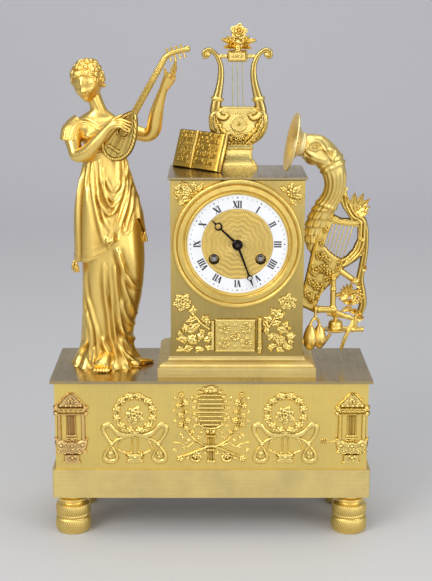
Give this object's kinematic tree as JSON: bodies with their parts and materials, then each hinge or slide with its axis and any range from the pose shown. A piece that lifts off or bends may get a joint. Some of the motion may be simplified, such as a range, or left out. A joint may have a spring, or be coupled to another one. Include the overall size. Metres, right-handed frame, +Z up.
{
  "type": "pendulum clock",
  "caption": "Gilt mantel clock: a robed lute player beside a pedestal with a round enamel dial, a lyre on top and a trophy of instruments, on a long footed base.",
  "frame": {"origin": "middle of the clock’s footprint, on the surface that its feet stand on", "axes": "+Z up, the dial faces -Y, +X to the right of someone who looks at the dial"},
  "size_m": [0.2804, 0.105, 0.4455],
  "materials": {
    "matt_gilding": "matt gilt, faintly brushed",
    "satin_gilding": "satin gilt, brushed",
    "burnished_gilding": "burnished gilt",
    "figure_gilding": "gilt, burnished on the folds",
    "enamel": "glossy white enamel on copper",
    "blued_steel": "blued",
    "silk": "twisted silk thread",
    "polished_steel": "polished",
    "movement_brass": "polished and lacquered"
  },
  "bodies": {
    "clock_case": {"base_frame": "matt_gilding", "base_box": "matt_gilding", "base_lid": "satin_gilding", "feet": "burnished_gilding", "fixing_nuts": "polished_steel", "base_centre_mount": "burnished_gilding", "base_wreaths": "burnished_gilding", "base_lyres": "burnished_gilding", "muse_dress": "figure_gilding", "muse_torso": "figure_gilding", "muse_head": "figure_gilding", "muse_right_arm": "figure_gilding", "muse_left_arm": "figure_gilding", "lute": "burnished_gilding", "case_plinth": "matt_gilding", "case_body": "satin_gilding", "case_top": "satin_gilding", "case_spandrels": "burnished_gilding", "case_book_mount": "burnished_gilding", "bezel": "burnished_gilding", "dial_ring": "enamel", "dial_centre": "burnished_gilding", "top_lyre": "burnished_gilding", "lyre_strings": "burnished_gilding", "rose_finial": "burnished_gilding", "music_book": "burnished_gilding", "serpent_horn": "burnished_gilding", "side_trophy": "burnished_gilding", "castanets": "burnished_gilding", "front_plate": "movement_brass", "back_plate": "movement_brass", "movement_straps": "movement_brass", "bell": "movement_brass", "suspension_cock": "movement_brass", "rear_bezel": "movement_brass"},
    "minute_hand": {"minute_hand": "blued_steel"},
    "hour_hand": {"hour_hand": "blued_steel", "hour_wheel": "movement_brass"},
    "minute_wheel": {"minute_wheel": "movement_brass"},
    "escape_wheel": {"escape_wheel": "movement_brass"},
    "third_wheel": {"third_wheel": "movement_brass"},
    "centre_wheel": {"centre_wheel": "movement_brass"},
    "second_wheel": {"second_wheel": "movement_brass"},
    "going_barrel": {"going_barrel": "movement_brass"},
    "going_winding_arbor": {"going_winding_arbor": "polished_steel"},
    "going_click": {"going_click": "polished_steel"},
    "strike_fly": {"strike_fly": "movement_brass"},
    "pin_wheel": {"pin_wheel": "movement_brass"},
    "strike_second_wheel": {"strike_second_wheel": "movement_brass", "count_wheel": "movement_brass"},
    "strike_barrel": {"strike_barrel": "movement_brass"},
    "strike_winding_arbor": {"strike_winding_arbor": "polished_steel"},
    "strike_click": {"strike_click": "polished_steel"},
    "bell_hammer": {"bell_hammer": "polished_steel"},
    "pendulum": {"pendulum": "movement_brass", "silk_loop": "silk"},
    "anchor": {"anchor": "polished_steel"},
    "regulating_arbor": {"regulating_arbor": "polished_steel"},
    "rear_door": {"rear_door": "movement_brass"}
  },
  "joints": [
    {"name": "minute_hand_turn", "type": "hinge", "parent": "clock_case", "child": "minute_hand", "pos_m": [0.022, -0.038, 0.262], "axis": [0, 1, 0], "continuous": true},
    {"name": "minute_wheel_turn", "type": "hinge", "parent": "clock_case", "child": "minute_wheel", "pos_m": [0.028, -0.03, 0.27239], "axis": [0, 1, 0], "continuous": true},
    {"name": "hour_hand_turn", "type": "hinge", "parent": "clock_case", "child": "hour_hand", "pos_m": [0.022, -0.037, 0.262], "axis": [0, 1, 0], "continuous": true},
    {"name": "escape_wheel_turn", "type": "hinge", "parent": "clock_case", "child": "escape_wheel", "pos_m": [0.022, -0.02, 0.28314], "axis": [0, 1, 0], "continuous": true},
    {"name": "third_wheel_turn", "type": "hinge", "parent": "clock_case", "child": "third_wheel", "pos_m": [0.01148, -0.001, 0.27352], "axis": [0, 1, 0], "continuous": true},
    {"name": "centre_wheel_turn", "type": "hinge", "parent": "clock_case", "child": "centre_wheel", "pos_m": [0.022, 0, 0.262], "axis": [0, 1, 0], "continuous": true},
    {"name": "second_wheel_turn", "type": "hinge", "parent": "clock_case", "child": "second_wheel", "pos_m": [0.04016, 0, 0.26806], "axis": [0, 1, 0], "continuous": true},
    {"name": "going_barrel_turn", "type": "hinge", "parent": "clock_case", "child": "going_barrel", "pos_m": [0.042, -0.014, 0.249], "axis": [0, 1, 0], "continuous": true},
    {"name": "going_winding", "type": "hinge", "parent": "clock_case", "child": "going_winding_arbor", "pos_m": [0.042, -0.01, 0.249], "axis": [0, 1, 0], "continuous": true},
    {"name": "going_click_lift", "type": "hinge", "parent": "clock_case", "child": "going_click", "pos_m": [0.038, 0.014, 0.262], "axis": [0, 1, 0], "range_deg": [-8, 0]},
    {"name": "strike_fly_turn", "type": "hinge", "parent": "clock_case", "child": "strike_fly", "pos_m": [0.02896, 0, 0.23601], "axis": [0, 1, 0], "continuous": true},
    {"name": "pin_wheel_turn", "type": "hinge", "parent": "clock_case", "child": "pin_wheel", "pos_m": [0.02356, 0, 0.24536], "axis": [0, 1, 0], "continuous": true},
    {"name": "strike_second_wheel_turn", "type": "hinge", "parent": "clock_case", "child": "strike_second_wheel", "pos_m": [0.01431, 0, 0.23433], "axis": [0, 1, 0], "continuous": true},
    {"name": "strike_barrel_turn", "type": "hinge", "parent": "clock_case", "child": "strike_barrel", "pos_m": [0.002, -0.014, 0.249], "axis": [0, 1, 0], "continuous": true},
    {"name": "strike_winding", "type": "hinge", "parent": "clock_case", "child": "strike_winding_arbor", "pos_m": [0.002, -0.01, 0.249], "axis": [0, 1, 0], "continuous": true},
    {"name": "strike_click_lift", "type": "hinge", "parent": "clock_case", "child": "strike_click", "pos_m": [-0.002, 0.014, 0.262], "axis": [0, 1, 0], "range_deg": [-8, 0]},
    {"name": "bell_hammer_swing", "type": "hinge", "parent": "clock_case", "child": "bell_hammer", "pos_m": [0.0435, 0.01, 0.2295], "axis": [0, 1, 0], "range_deg": [0, 14]},
    {"name": "pendulum_swing", "type": "hinge", "parent": "clock_case", "child": "pendulum", "pos_m": [0.022, 0.018, 0.297], "axis": [0, 1, 0], "range_deg": [-3, 3]},
    {"name": "anchor_rock", "type": "hinge", "parent": "clock_case", "child": "anchor", "pos_m": [0.022, -0.01, 0.297], "axis": [0, 1, 0], "range_deg": [-3, 3]},
    {"name": "regulating_turn", "type": "hinge", "parent": "clock_case", "child": "regulating_arbor", "pos_m": [0.022, 0.018, 0.3016], "axis": [1, 0, 0], "continuous": true},
    {"name": "rear_door_swing", "type": "hinge", "parent": "clock_case", "child": "rear_door", "pos_m": [-0.028, 0.0469, 0.262], "axis": [0, 0, 1], "range_deg": [0, 120]}
  ],
  "couplings": [
    {"joint": "minute_wheel_turn", "follows": "minute_hand_turn", "ratio": -0.33333},
    {"joint": "hour_hand_turn", "follows": "minute_hand_turn", "ratio": 0.083333},
    {"joint": "third_wheel_turn", "follows": "escape_wheel_turn", "ratio": -0.085714},
    {"joint": "centre_wheel_turn", "follows": "escape_wheel_turn", "ratio": 0.0071429},
    {"joint": "second_wheel_turn", "follows": "escape_wheel_turn", "ratio": -0.00099206},
    {"joint": "going_barrel_turn", "follows": "escape_wheel_turn", "ratio": 0.00013779},
    {"joint": "pin_wheel_turn", "follows": "strike_fly_turn", "ratio": -0.11111},
    {"joint": "strike_second_wheel_turn", "follows": "strike_fly_turn", "ratio": 0.013889},
    {"joint": "strike_barrel_turn", "follows": "strike_fly_turn", "ratio": -0.001929},
    {"joint": "anchor_rock", "follows": "pendulum_swing", "ratio": 1}
  ]
}
